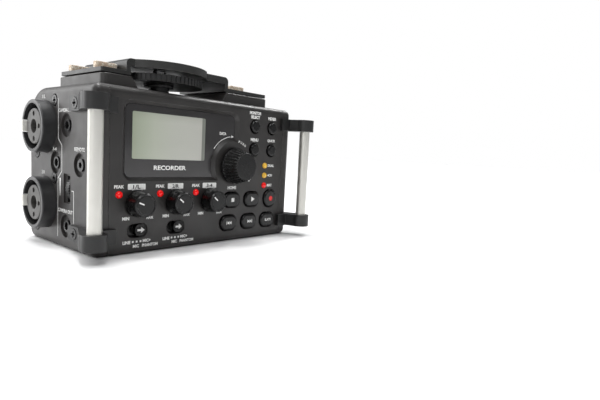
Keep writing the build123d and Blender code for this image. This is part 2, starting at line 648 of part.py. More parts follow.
# ---- buttons and keys -----------------------------------------------------------------
for name, centre in BUTTONS.items():
    with BuildPart() as button:
        with BuildSketch(front_plane(4)):
            with Locations(centre):
                button_outline(name)
        extrude(amount=4 + BUTTON_RISE)
        crown = button.faces().sort_by(Axis.Y)[0]
        fillet(crown.edges(), BUTTON_RISE - 0.2)
        with BuildSketch(front_plane(4.3)):
            with Locations(centre):
                button_outline(name, BUTTON_GAP + 0.6)
        extrude(amount=0.8)
        bar(front_plane(SWITCH_TOP - BUTTON_TRAVEL_GAP), centre, 1.6, 1.5)
    finish(button, name)

# ---- left side sockets ----------------------------------------------------------------
for level, (depth, height) in COMBO_CENTRES.items():
    with BuildPart() as combo_socket:
        bar(side_plane(-COLLAR_OUT), (depth, height), COLLAR_RADIUS, COLLAR_OUT + SOCKET_INSIDE)
        outer_rim = combo_socket.faces().sort_by(Axis.X)[0]
        fillet(outer_rim.edges(), 0.5)
        with BuildSketch(side_plane(WALL)):
            with Locations((depth, height)):
                Circle(COLLAR_RADIUS + 1.2)
            with Locations(*combo_screw_places(depth, height)):
                Circle(2.4)
            make_hull()
        extrude(amount=2)
        bar(side_plane(-COLLAR_OUT), (depth, height), COLLAR_INNER, XLR_DEPTH, Mode.SUBTRACT)
        bar(side_plane(-COLLAR_OUT), (depth, height), CORE_RADIUS + FIT, 40, Mode.SUBTRACT)
        for place in combo_screw_places(depth, height):
            bar(side_plane(0), place, SCREW_SHANK_RADIUS + FIT, 5, Mode.SUBTRACT)
        block(
            (-COLLAR_OUT - 1, depth + CORE_RADIUS + 0.5, height - COLLAR_NOTCH / 2),
            (-NOTCH_FLOOR, depth + COLLAR_RADIUS + 1, height + COLLAR_NOTCH / 2),
            Mode.SUBTRACT,
        )
    finish(combo_socket, f"{level}_combo_socket")
    with BuildPart() as combo_core:
        bar(side_plane(-CORE_OUT), (depth, height), CORE_RADIUS, CORE_OUT + SOCKET_INSIDE + 1)
        fillet(combo_core.faces().sort_by(Axis.X)[0].edges(), 0.5)
        bar(side_plane(-CORE_OUT), (depth, height), PLUG_RADIUS, PLUG_LENGTH, Mode.SUBTRACT)
        for offset in ((0, PIN_CIRCLE), (0, -PIN_CIRCLE), (-PIN_CIRCLE, 0)):
            pin = (depth + offset[0], height + offset[1])
            bar(side_plane(-CORE_OUT), pin, PIN_RADIUS, 12, Mode.SUBTRACT)
    finish(combo_core, f"{level}_combo_core")
    half = COLLAR_NOTCH / 2 - LATCH_GAP
    with BuildPart() as latch:
        block(
            (-LATCH_OUT, depth + LATCH_RADII[0], height - half),
            (-LATCH_FOOT_DEPTH, depth + LATCH_RADII[1], height + half),
        )
        chamfer(latch.faces().sort_by(Axis.X)[0].edges(), 0.4)
    finish(latch, f"{level}_latch")


def jack(face, inward, centre, radius, length):
    """Panel jack: a square body behind the side wall and a round nose through it."""
    with BuildSketch(side_plane(face + inward * WALL)) as section:
        with Locations(centre):
            Rectangle(JACK_BODY, JACK_BODY)
    extrude(section.sketch, amount=inward * (length - 1))
    with BuildSketch(side_plane(face + inward * JACK_NOSE_INSET)) as section:
        with Locations(centre):
            Circle(JACK_NOSE_RADIUS)
    extrude(section.sketch, amount=inward * WALL)
    with BuildSketch(side_plane(face + inward * JACK_NOSE_INSET)) as section:
        with Locations(centre):
            Circle(radius)
    extrude(section.sketch, amount=inward * length, mode=Mode.SUBTRACT)


with BuildPart() as stereo_jacks:
    for centre in JACK_CENTRES.values():
        jack(0, 1, centre, JACK_RADIUS, JACK_LENGTH)
    for centre in RIGHT_JACK_CENTRES.values():
        jack(WIDTH, -1, centre, JACK_RADIUS, JACK_LENGTH)
finish(stereo_jacks, "stereo_jacks")

with BuildPart() as remote_jack:
    jack(0, 1, REMOTE_CENTRE, REMOTE_RADIUS, REMOTE_LENGTH)
finish(remote_jack, "remote_jack")

# ---- thumb wheels ---------------------------------------------------------------------
THUMB_WHEELS = {
    "output_level_wheel": (THUMB_INSET, LEFT_WHEEL_HEIGHT),
    "phones_level_wheel": (WIDTH - THUMB_INSET, RIGHT_WHEEL_HEIGHT),
}
for name, centre in THUMB_WHEELS.items():
    with BuildPart() as thumb_wheel:
        bar(front_plane(WHEEL_DEPTH - THUMB_WIDTH / 2), centre, THUMB_RADIUS, -THUMB_WIDTH)
        with BuildSketch(front_plane(WHEEL_DEPTH - THUMB_WIDTH / 2)):
            with Locations(centre):
                with PolarLocations(THUMB_RADIUS, THUMB_RIBS):
                    Rectangle(0.7, 0.55)
        extrude(amount=-THUMB_WIDTH, mode=Mode.SUBTRACT)
        bar(front_plane(WHEEL_DEPTH), centre, THUMB_AXLE, -THUMB_WIDTH / 2 - 2.8)
    finish(thumb_wheel, name)

# ---- right side -----------------------------------------------------------------------
with BuildPart() as hold_switch:
    depth, height = HOLD_CENTRE
    block((WIDTH - 3.8, depth - 3, height - 7.4), (WIDTH - 2.9, depth + 3, height + 7.4))
    with BuildSketch(side_plane(WIDTH - 3)):
        with Locations(HOLD_CENTRE):
            RectangleRounded(3.4, 5, 1.5)
    extrude(amount=3.5)
finish(hold_switch, "hold_switch")

with BuildPart() as card_door:
    front, low, rear, high = CARD_DOOR
    block((WIDTH - DOOR_THICKNESS, front, low), (WIDTH, rear - DOOR_HINGE_INSET, high))
    bar(level_plane(low), card_axis, DOOR_HINGE_INSET, high - low)
    pins_low = low - DOOR_PIN_LENGTH
    bar(level_plane(pins_low), card_axis, DOOR_PIN_RADIUS, high - low + 2 * DOOR_PIN_LENGTH)
    block((WIDTH - 0.5, front + 1.2, low + 6), (WIDTH + 1, front + 2.2, high - 6), Mode.SUBTRACT)
finish(card_door, "card_door")

with BuildPart() as card_socket:
    block((100.4, 39.5, 30.5), (WIDTH - 4.2, 59, 34.5))
    block((102, 40.5, 31.4), (WIDTH, 58, 33.6), Mode.SUBTRACT)
finish(card_socket, "card_socket")

# ---- battery bay ----------------------------------------------------------------------
CELL_PLACES = [(depth, height) for depth in CELL_DEPTHS for height in CELL_HEIGHTS]

with BuildPart() as battery_holder:
    left, front, right, rear = BAY
    low, high = BAY_HEIGHTS
    block((left, front, low), (right, rear, high))
    inner_low = (left + BAY_WALL, front + BAY_WALL, low + BAY_WALL)
    inner_high = (right - BAY_WALL, rear + 1, high - BAY_WALL)
    block(inner_low, inner_high, Mode.SUBTRACT)
finish(battery_holder, "battery_holder")

with BuildPart() as battery_cells:
    with BuildSketch(side_plane(CELL_LEFT)):
        with Locations(*CELL_PLACES):
            Circle(CELL_RADIUS)
    extrude(amount=CELL_LENGTH)
    with BuildSketch(side_plane(CELL_LEFT + CELL_LENGTH - 1)):
        with Locations(*CELL_PLACES):
            Circle(2.7)
    extrude(amount=2.2)
finish(battery_cells, "battery_cells")

with BuildPart() as battery_door:
    left, low, right, high = DOOR
    hinge_height = low + DOOR_HINGE_INSET
    block((left, DEPTH - DOOR_THICKNESS, hinge_height), (right, DEPTH, high))
    bar(side_plane(left), battery_axis, DOOR_HINGE_INSET, right - left)
    pins_left = left - DOOR_PIN_LENGTH
    bar(side_plane(pins_left), battery_axis, DOOR_PIN_RADIUS, right - left + 2 * DOOR_PIN_LENGTH)
    block((left + 4, DEPTH - DOOR_THICKNESS - 0.7, low + 6), (right - 4, DEPTH - 1, high - 3))
    with BuildSketch(front_plane(DEPTH)):
        with Locations((MIDDLE + 2.75, high - 4)):
            SlotOverall(16, 4)
    extrude(amount=0.8, mode=Mode.SUBTRACT)
finish(battery_door, "battery_door")

# ---- handles --------------------------------------------------------------------------
BAR_PLACES = ((-BAR_OUT, -BAR_FORWARD), (WIDTH + BAR_OUT, -BAR_FORWARD))

with BuildPart() as handle_bars:
    bar_low = BRACKETS[0][0] + 1.5
    bar_high = BRACKETS[1][1] - 1.5
    with BuildSketch(level_plane(bar_low)):
        with Locations(*BAR_PLACES):
            Circle(BAR_RADIUS)
    extrude(amount=bar_high - bar_low)
finish(handle_bars, "handle_bars")


def bracket_outline(side):
    """Plan of a bracket that wraps a front corner, grown from the corner to the bar."""
    corner = 0 if side < 0 else WIDTH

    corner_radius = EDGE_RADIUS - 0.5
    waist = corner_radius * (1 - sin(radians(45)))

    def at(inward, depth):
        return (corner - side * inward, depth)

    with Locations(at(-BAR_OUT, -BAR_FORWARD)):
        Circle(BRACKET_RADIUS)
    with BuildLine() as outline:
        Polyline(
            at(-BAR_OUT - BRACKET_RADIUS + 0.1, -BAR_FORWARD - 0.5),
            at(-BAR_OUT - BRACKET_RADIUS + 0.3, -BAR_FORWARD + 3),
            at(-BRACKET_TAB, 9.5),
            at(-BRACKET_TAB, BRACKET_SIDE_REACH),
            at(0, BRACKET_SIDE_REACH),
            at(0, corner_radius),
        )
        ThreePointArc(at(0, corner_radius), at(waist, waist), at(corner_radius, 0))
        Polyline(
            at(corner_radius, 0),
            at(BRACKET_FRONT_REACH, 0),
            at(BRACKET_FRONT_REACH, -BRACKET_TAB),
            at(2.6, -BRACKET_TAB),
            at(-BAR_OUT + BRACKET_RADIUS, -BAR_FORWARD + 1.2),
            at(-BAR_OUT + BRACKET_RADIUS - 0.1, -BAR_FORWARD - 0.5),
            at(-BAR_OUT - BRACKET_RADIUS + 0.1, -BAR_FORWARD - 0.5),
        )
    make_face(outline.edges())


with BuildPart() as handle_brackets:
    for low, high in BRACKETS:
        for side in (-1, 1):
            with BuildSketch(level_plane(low)):
                bracket_outline(side)
            extrude(amount=high - low)
    with BuildSketch(level_plane(bar_low)):
        with Locations(*BAR_PLACES):
            Circle(BAR_RADIUS + FIT)
    extrude(amount=bar_high - bar_low, mode=Mode.SUBTRACT)
    for face, outward in ((0, -1), (WIDTH, 1)):
        for low, high in BRACKETS:
            place = (BRACKET_SCREW_DEPTH, (low + high) / 2)
            tab_face = side_plane(face + outward * BRACKET_TAB)
            bar(tab_face, place, SCREW_HEAD_RADIUS + 0.15, -outward * COUNTERBORE_DEPTH, Mode.SUBTRACT)
            bar(tab_face, place, SCREW_SHANK_RADIUS + FIT, -outward * 4, Mode.SUBTRACT)
finish(handle_brackets, "handle_brackets")


# ---- screws ---------------------------------------------------------------------------
def cross_recess(plane, place, amount):
    """Cross-shaped driver recess, cut from a plane at the head's face."""
    with BuildSketch(plane) as recess:
        with Locations(place):
            Rectangle(*RECESS_SIZE)
            Rectangle(*reversed(RECESS_SIZE))
    extrude(recess.sketch, amount=amount, mode=Mode.SUBTRACT)


def screw(plane, place, direction, length):
    """Pan head screw: the head stands out of the plane, the shank runs along direction."""
    bar(plane, place, SCREW_HEAD_RADIUS, -direction * SCREW_HEAD_HEIGHT)
    bar(plane, place, SCREW_SHANK_RADIUS, direction * length)
    head_face = plane.offset(-direction * SCREW_HEAD_HEIGHT)
    cross_recess(head_face, place, direction * RECESS_DEPTH)


with BuildPart() as case_screws:
    for face, inward in ((0, 1), (WIDTH, -1)):
        for low, high in BRACKETS:
            seat = side_plane(face - inward * (BRACKET_TAB - COUNTERBORE_DEPTH))
            screw(seat, (BRACKET_SCREW_DEPTH, (low + high) / 2), inward, 5)
    for depth, height in COMBO_CENTRES.values():
        for place in combo_screw_places(depth, height):
            screw(side_plane(COUNTERBORE_DEPTH), place, 1, 5)
    for place in PILLARS:
        screw(level_plane(SCREW_HEAD_HEIGHT), place, 1, 8)
finish(case_screws, "case_screws")

# ---- camera plate ---------------------------------------------------------------------


def bridge_outline(inset=0.0):
    """Plan of the raised bridge: a rectangle with a round bulge over the camera wheel."""
    front, rear = PLATE_DEPTHS
    left, right = BRIDGE
    with Locations(((left + right) / 2, (front + rear) / 2)):
        Rectangle(right - left, rear - front - 2 * inset)
    with Locations(SCREW_CENTRE):
        Circle(BULGE_RADIUS - inset)
    with Locations((left - 10, MIDDLE), (right + 10, MIDDLE)):
        Rectangle(20, 200, mode=Mode.SUBTRACT)


with BuildPart() as camera_plate:
    front, rear = PLATE_DEPTHS
    left, right = BRIDGE
    with BuildSketch(level_plane(PLATE_LOW)):
        with Locations((MIDDLE, (front + rear) / 2)):
            RectangleRounded(WIDTH - 2 * PLATE_INSET, rear - front, 1.5)
    extrude(amount=PLATE_TOP - PLATE_LOW)
    with BuildSketch(level_plane(PLATE_LOW)):
        bridge_outline()
    extrude(amount=BRIDGE_TOP - PLATE_LOW)
    bends = camera_plate.faces().sort_by(Axis.Z)[-1].edges().filter_by(Axis.Y)
    fillet(bends, BRIDGE_BEND)
    inner_left = left + BRIDGE_WALL
    inner_right = right - BRIDGE_WALL
    block((inner_left, -10, PLATE_LOW - 1), (inner_right, DEPTH, BRIDGE_LIP_LOW), Mode.SUBTRACT)
    with BuildSketch(level_plane(BRIDGE_LIP_LOW - 0.5)):
        bridge_outline(LIP_WIDTH)
        with Locations((inner_left - 10, MIDDLE), (inner_right + 10, MIDDLE)):
            Rectangle(20, 200, mode=Mode.SUBTRACT)
    extrude(amount=BRIDGE_TOP - BRIDGE_SKIN - BRIDGE_LIP_LOW + 0.5, mode=Mode.SUBTRACT)
    bar(level_plane(BRIDGE_LIP_LOW), SCREW_CENTRE, SCREW_RADIUS + 0.3, 10, Mode.SUBTRACT)
    for place in PLATE_SCREWS:
        bar(level_plane(PLATE_TOP - 0.8), place, SCREW_HEAD_RADIUS + 0.15, 1, Mode.SUBTRACT)
        bar(level_plane(PLATE_LOW - 1), place, SCREW_SHANK_RADIUS + FIT, 3, Mode.SUBTRACT)
finish(camera_plate, "camera_plate")

with BuildPart() as plate_pads:
    for start, end in PAD_STRIPS:
        for middle in PAD_MIDDLES:
            near = middle - PAD_WIDTH / 2
            block((start, near, PLATE_TOP), (end, near + PAD_WIDTH, PLATE_TOP + PAD_HEIGHT))
finish(plate_pads, "plate_pads")

with BuildPart() as plate_screws:
    for place in PLATE_SCREWS:
        bar(level_plane(PLATE_TOP - 0.8), place, SCREW_HEAD_RADIUS, 0.8)
        bar(level_plane(PLATE_TOP - 0.8), place, SCREW_SHANK_RADIUS, -6)
        cross_recess(level_plane(PLATE_TOP), place, -RECESS_DEPTH)
finish(plate_screws, "plate_screws")

with BuildPart() as camera_wheel:
    bar(level_plane(CAMERA_WHEEL_LOW), SCREW_CENTRE, CAMERA_WHEEL_RADIUS, CAMERA_WHEEL_THICKNESS)
    with BuildSketch(level_plane(CAMERA_WHEEL_LOW)):
        with Locations(SCREW_CENTRE):
            with PolarLocations(CAMERA_WHEEL_RADIUS, CAMERA_WHEEL_RIBS):
                Rectangle(*WHEEL_GROOVE)
    extrude(amount=CAMERA_WHEEL_THICKNESS, mode=Mode.SUBTRACT)
    bar(level_plane(CHANNEL_LOW + 0.3), SCREW_CENTRE, CAMERA_HUB_RADIUS, CAMERA_WHEEL_LOW - CHANNEL_LOW)
    bar(level_plane(CHANNEL_LOW), SCREW_CENTRE, SCREW_RADIUS, 10, Mode.SUBTRACT)
finish(camera_wheel, "camera_wheel")

with BuildPart() as camera_screw:
    screw_low = CHANNEL_LOW + 0.3
    bar(level_plane(screw_low), SCREW_CENTRE, SCREW_RADIUS, SCREW_TIP - screw_low)
    chamfer(camera_screw.faces().sort_by(Axis.Z)[-1].edges(), 0.5)
finish(camera_screw, "camera_screw")

with BuildPart() as screw_collar:
    bar(level_plane(CAMERA_WHEEL_LOW), SCREW_CENTRE, CAMERA_HUB_RADIUS + 2.2, -COLLAR_THICKNESS)
    bar(level_plane(CHANNEL_LOW), SCREW_CENTRE, CAMERA_HUB_RADIUS + FIT, 10, Mode.SUBTRACT)
finish(screw_collar, "screw_collar")
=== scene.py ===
"""Looks of a portable camera-mount recorder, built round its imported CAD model.

Every length below is in millimetres and is turned into metres by MM where it is used.
Marks are placed from the CAD nodes that they belong to.
"""

import json
from math import cos, pi, radians, sin

import bmesh
import bpy
from mathutils import Matrix, Vector, noise


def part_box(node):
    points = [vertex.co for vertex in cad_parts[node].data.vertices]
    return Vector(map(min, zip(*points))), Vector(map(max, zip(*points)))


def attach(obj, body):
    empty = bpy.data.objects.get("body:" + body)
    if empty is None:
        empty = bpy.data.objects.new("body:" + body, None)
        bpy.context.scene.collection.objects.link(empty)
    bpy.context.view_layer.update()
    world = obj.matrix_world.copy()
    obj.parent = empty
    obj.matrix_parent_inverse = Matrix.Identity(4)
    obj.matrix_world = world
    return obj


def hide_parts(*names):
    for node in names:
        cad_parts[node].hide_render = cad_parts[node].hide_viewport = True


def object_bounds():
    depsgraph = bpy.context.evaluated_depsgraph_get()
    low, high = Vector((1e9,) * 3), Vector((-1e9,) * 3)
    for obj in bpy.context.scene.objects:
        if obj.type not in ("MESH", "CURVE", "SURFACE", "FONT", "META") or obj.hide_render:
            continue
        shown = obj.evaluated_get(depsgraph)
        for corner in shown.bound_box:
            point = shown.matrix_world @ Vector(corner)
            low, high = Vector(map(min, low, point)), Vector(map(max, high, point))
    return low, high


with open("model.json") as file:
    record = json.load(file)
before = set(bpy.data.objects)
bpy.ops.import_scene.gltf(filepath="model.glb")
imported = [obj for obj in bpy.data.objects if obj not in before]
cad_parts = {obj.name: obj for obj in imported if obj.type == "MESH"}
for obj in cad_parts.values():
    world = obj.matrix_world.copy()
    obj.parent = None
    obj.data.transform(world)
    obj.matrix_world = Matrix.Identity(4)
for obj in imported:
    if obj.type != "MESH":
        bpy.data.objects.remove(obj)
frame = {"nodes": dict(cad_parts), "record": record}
cad_low, cad_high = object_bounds()

MM = 0.001
INK_RISE = 0.03  # printed marks stand this far out of their surface
INK_SINK = 0.04  # and reach this far into it
STROKE = 0.32  # width of printed lines
CAP_HEIGHT = 1.45  # height of the function names on the front
SMALL_CAP = 1.15
SCREEN_BORDER = 2.0  # the display module's rim round its visible area
LAMP_RADIUS = 1.6
JACK_HALF = 4.0  # half of a jack's square body
POINTER_LEANS = (67, 51, 49)  # how far each knob's pointer leans left of upright, degrees

# camera: heading is clockwise from +Y, seen from above
CAMERA_PLACE = (-0.1533, -0.2232, 0.0488)
CAMERA_HEADING = 49.84
CAMERA_TILT = 5.63
CAMERA_ROLL = 3.12
CAMERA_LENS = 28.66


# ---- places ---------------------------------------------------------------------------
def middle(node):
    """Middle of a CAD node's box."""
    low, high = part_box(node)
    return (low + high) / 2


def facing(x_axis, y_axis, origin):
    """Placement whose local X and Y run along two axes; local Z leaves the surface."""
    x, y = Vector(x_axis), Vector(y_axis)
    return Matrix.Translation(origin) @ Matrix((x, y, x.cross(y))).transposed().to_4x4()


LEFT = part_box("left_side_panel")[0].x
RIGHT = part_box("right_side_panel")[1].x
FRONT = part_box("front_panel")[0].y
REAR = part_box("rear_panel")[1].y


def on_front(across, height, face=FRONT):
    """Placement on the front panel, from metres in the frame's X and Z."""
    return facing((1, 0, 0), (0, 0, 1), (across, face, height))


def on_left(depth, height):
    return facing((0, -1, 0), (0, 0, 1), (LEFT, depth, height))


def on_right(depth, height):
    return facing((0, 1, 0), (0, 0, 1), (RIGHT, depth, height))


def on_rear(across, height):
    return facing((-1, 0, 0), (0, 0, 1), (across, REAR, height))


# ---- materials ------------------------------------------------------------------------
class Finish:
    """A Principled material with helpers that add its procedural detail."""

    def __init__(self, name, colour, roughness, **constants):
        self.material = bpy.data.materials.new(name)
        self.material.use_nodes = True
        self.tree = self.material.node_tree
        self.shader = self.tree.nodes["Principled BSDF"]
        self.colour = colour
        self.shader.inputs["Base Color"].default_value = (*colour, 1)
        self.shader.inputs["Roughness"].default_value = roughness
        self.roughness = roughness
        for socket, value in constants.items():
            self.shader.inputs[socket.replace("_", " ")].default_value = value
        self.normal = None
        coordinates = self.tree.nodes.new("ShaderNodeTexCoord")
        self.place = coordinates.outputs["Object"]

    def node(self, kind, values=(), links=()):
        """New node with input values and incoming links given by socket name or number."""
        made = self.tree.nodes.new(kind)
        for socket, value in dict(values).items():
            made.inputs[socket].default_value = value
        for socket, output in dict(links).items():
            self.tree.links.new(output, made.inputs[socket])
        return made

    def stretched(self, scale):
        """Object coordinates scaled differently along each axis."""
        mapping = self.node("ShaderNodeMapping", {"Scale": scale}, {"Vector": self.place})
        return mapping.outputs["Vector"]

    def speckle(self, size, detail=2.0, place=None):
        """Noise whose blobs are about `size` millimetres."""
        values = {"Scale": 1 / (size * MM), "Detail": detail}
        texture = self.node("ShaderNodeTexNoise", values, {"Vector": place or self.place})
        return texture.outputs["Fac"]

    def ranged(self, value, low, high, start=0.3, end=0.7):
        """Value from start..end mapped to low..high."""
        numbers = {"From Min": start, "From Max": end, "To Min": low, "To Max": high}
        return self.node("ShaderNodeMapRange", numbers, {"Value": value}).outputs["Result"]

    def mixed(self, factor, first, second):
        """Colour between two colours or colour outputs."""
        mix = self.tree.nodes.new("ShaderNodeMix")
        mix.data_type = "RGBA"
        self.tree.links.new(factor, mix.inputs["Factor"])
        for socket, colour in ((mix.inputs[6], first), (mix.inputs[7], second)):
            if isinstance(colour, tuple):
                socket.default_value = (*colour, 1)
            else:
                self.tree.links.new(colour, socket)
        return mix.outputs[2]

    def mottle(self, size, other):
        """Base colour drifts towards another colour in soft blotches."""
        colour = self.mixed(self.ranged(self.speckle(size), 0, 1), self.colour, other)
        self.tree.links.new(colour, self.shader.inputs["Base Color"])
        self.colour = colour
        return self

    def uneven(self, size, spread):
        """Roughness varies by `spread` either way, as handled plastic does."""
        low, high = self.roughness - spread, self.roughness + spread
        rough = self.ranged(self.speckle(size, 3.0), low, high)
        self.tree.links.new(rough, self.shader.inputs["Roughness"])
        return self

    def grain(self, size, depth, place=None, value=None):
        """Bump of that grain size and depth, both in millimetres."""
        height = value or self.speckle(size, 1.0, place)
        links = {"Height": height}
        if self.normal:
            links["Normal"] = self.normal
        bump = self.node("ShaderNodeBump", {"Distance": depth * MM, "Strength": 1}, links)
        self.normal = bump.outputs["Normal"]
        self.tree.links.new(self.normal, self.shader.inputs["Normal"])
        return self

    def edges(self, radius, edge_wear_and_highlight=None):
        """Sharp edges shade as rounded ones, and may be lightened in patches to another colour: partly
        rubbed wear, partly a painted edge highlight.
        """
        bevel = self.tree.nodes.new("ShaderNodeBevel")
        bevel.samples = 4
        bevel.inputs["Radius"].default_value = radius * MM
        self.normal = bevel.outputs["Normal"]
        self.tree.links.new(self.normal, self.shader.inputs["Normal"])
        # the edge colour is partly rubbed wear and partly a painted highlight along the edges
        if edge_wear_and_highlight:
            geometry = self.tree.nodes.new("ShaderNodeNewGeometry")
            product = self.tree.nodes.new("ShaderNodeVectorMath")
            product.operation = "DOT_PRODUCT"
            self.tree.links.new(bevel.outputs["Normal"], product.inputs[0])
            self.tree.links.new(geometry.outputs["Normal"], product.inputs[1])
            turned = self.ranged(product.outputs["Value"], 1, 0, 0.82, 0.99)
            patchy = self.ranged(self.speckle(3.0, 4.0), 0.1, 0.8, 0.35, 0.65)
            wear_and_highlight_share = self.tree.nodes.new("ShaderNodeMath")
            wear_and_highlight_share.operation = "MULTIPLY"
            self.tree.links.new(turned, wear_and_highlight_share.inputs[0])
            self.tree.links.new(patchy, wear_and_highlight_share.inputs[1])
            colour = self.mixed(wear_and_highlight_share.outputs[0], self.colour, edge_wear_and_highlight)
            self.tree.links.new(colour, self.shader.inputs["Base Color"])
            self.colour = colour
        return self


def moulded(name, colour, roughness, grain_size=0.22, grain_depth=0.006, edge_wear_and_highlight=None, **constants):
    """Moulded or painted surface: soft blotches, uneven gloss, fine texture, eased edges that may be
    lightened by rubbed wear and a painted edge highlight.
    """
    lighter = tuple(1.25 * c + 0.002 for c in colour)
    finish = Finish(name, colour, roughness, **constants)
    finish.mottle(9.0, lighter).edges(0.25, edge_wear_and_highlight).uneven(6.0, 0.05)
    return finish.grain(grain_size, grain_depth).material


def turned_metal(name, colour, roughness, line_size, across):
    """Metal with fine lines; `across` are the coordinate scales that draw them out."""
    finish = Finish(name, colour, roughness, Metallic=1.0)
    finish.edges(0.15).uneven(4.0, 0.06)
    return finish.grain(line_size, 0.003, finish.stretched(across)).material


def light_pipe(name, colour, glow):
    """Dyed clear plastic lit from behind, brighter in patches."""
    finish = Finish(name, colour, 0.15, Emission_Strength=glow, Coat_Weight=0.3)
    finish.mottle(2.5, tuple(min(1.0, 1.1 * c + 0.002) for c in colour)).uneven(2.0, 0.04)
    finish.shader.inputs["Emission Color"].default_value = (*colour, 1)
    return finish.grain(0.8, 0.001).material


def window_acrylic():
    """Polished dark window with faint wiping marks."""
    finish = Finish("window_acrylic", (0.022, 0.021, 0.021), 0.2, Coat_Weight=0.25)
    finish.mottle(20.0, (0.028, 0.026, 0.027)).edges(0.2).uneven(14.0, 0.05)
    return finish.grain(30.0, 0.01).material


def lcd_glass(low, high):
    """Blank display: grey-green with a darker strip at its right end and shade along its top."""
    finish = Finish("lcd_glass", (0.36, 0.375, 0.31), 0.22, Coat_Weight=0.5)
    split = finish.node("ShaderNodeSeparateXYZ", links={"Vector": finish.place})
    along = finish.ranged(split.outputs["X"], 0, 1, low.x, high.x)
    ramp = finish.node("ShaderNodeValToRGB", links={"Fac": along})
    stops = ((0.0, (0.31, 0.35, 0.26)), (0.28, (0.42, 0.445, 0.37)), (0.55, (0.44, 0.45, 0.40)))
    stops += ((0.945, (0.46, 0.46, 0.42)), (0.955, (0.17, 0.18, 0.16)), (1.0, (0.19, 0.20, 0.175)))
    while len(ramp.color_ramp.elements) < len(stops):
        ramp.color_ramp.elements.new(0.5)
    for element, (position, colour) in zip(ramp.color_ramp.elements, stops):
        element.position = position
        element.color = (*colour, 1)
    shade = finish.ranged(split.outputs["Z"], 0, 0.2125, high.z - 4 * MM, high.z)
    shaded = finish.mixed(shade, ramp.outputs["Color"], (0.16, 0.18, 0.14))
    finish.tree.links.new(shaded, finish.shader.inputs["Base Color"])
    return finish.uneven(8.0, 0.04).grain(0.25, 0.001).material


def circuit_board():
    """Solder mask with darker copper fields and pale pads."""
    finish = Finish("circuit_board", (0.01, 0.09, 0.035), 0.35)
    cells = finish.node("ShaderNodeTexVoronoi", {"Scale": 260.0}, {"Vector": finish.place})
    field = finish.ranged(cells.outputs["Distance"], 0, 1, 0.2, 0.5)
    base = finish.mixed(field, (0.02, 0.14, 0.05), (0.006, 0.06, 0.025))
    pads = finish.ranged(finish.speckle(1.1, 0.0), 0, 1, 0.70, 0.72)
    finish.tree.links.new(finish.mixed(pads, base, (0.7, 0.68, 0.6)), finish.shader.inputs["Base Color"])
    return finish.uneven(3.0, 0.08).grain(1.5, 0.02).material


def cork():
    """Pressed cork: pale granules between darker, redder joints."""
    finish = Finish("cork", (0.66, 0.52, 0.36), 0.85, Sheen_Weight=0.15)
    cells = finish.node("ShaderNodeTexVoronoi", {"Scale": 900.0}, {"Vector": finish.place})
    joint = finish.node("ShaderNodeTexVoronoi", {"Scale": 900.0}, {"Vector": finish.place})
    joint.feature = "DISTANCE_TO_EDGE"
    granule = finish.ranged(cells.outputs["Color"], 0, 1, 0.2, 0.8)
    tint = finish.mixed(granule, (0.86, 0.80, 0.68), (0.66, 0.52, 0.38))
    seam = finish.ranged(joint.outputs["Distance"], 1, 0, 0.0, 0.08)
    colour = finish.mixed(seam, tint, (0.34, 0.20, 0.13))
    finish.tree.links.new(colour, finish.shader.inputs["Base Color"])
    finish.grain(1.0, 0.06, value=joint.outputs["Distance"])
    return finish.grain(0.2, 0.02).material


def ink(name, colour):
    """Screen print: matt, a little thin in places."""
    finish = Finish(name, colour, 0.55)
    finish.mottle(0.8, tuple(0.85 * c for c in colour)).uneven(1.5, 0.05)
    return finish.grain(0.15, 0.002).material


def cell_wrap():
    """Plain two-tone battery wrap: the colour changes near one end."""
    finish = Finish("cell_wrap", (0.04, 0.10, 0.28), 0.3, Coat_Weight=0.3)
    split = finish.node("ShaderNodeSeparateXYZ", links={"Vector": finish.place})
    end = finish.ranged(split.outputs["X"], 0, 1, 14 * MM, 14.3 * MM)
    finish.colour = finish.mixed(end, (0.04, 0.10, 0.28), (0.62, 0.48, 0.20))
    finish.tree.links.new(finish.colour, finish.shader.inputs["Base Color"])
    return finish.uneven(5.0, 0.06).grain(2.0, 0.01).material


CHARCOAL = (0.022, 0.020, 0.019)
# lighter edge colour: rubbed wear plus a painted edge highlight
RUBBED_AND_LIT_EDGE = (0.16, 0.155, 0.15)
CONTROL_BLACK = (0.003, 0.003, 0.003)
white_ink = ink("white_ink", (0.86, 0.86, 0.84))
dark_ink = ink("dark_ink", (0.02, 0.02, 0.02))
red_ink = ink("red_ink", (0.75, 0.03, 0.03))
LCD_LOW, LCD_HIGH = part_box("lcd_screen")
screen_low = LCD_LOW + Vector((SCREEN_BORDER, 0, SCREEN_BORDER)) * MM
screen_high = LCD_HIGH - Vector((SCREEN_BORDER, 0, SCREEN_BORDER)) * MM
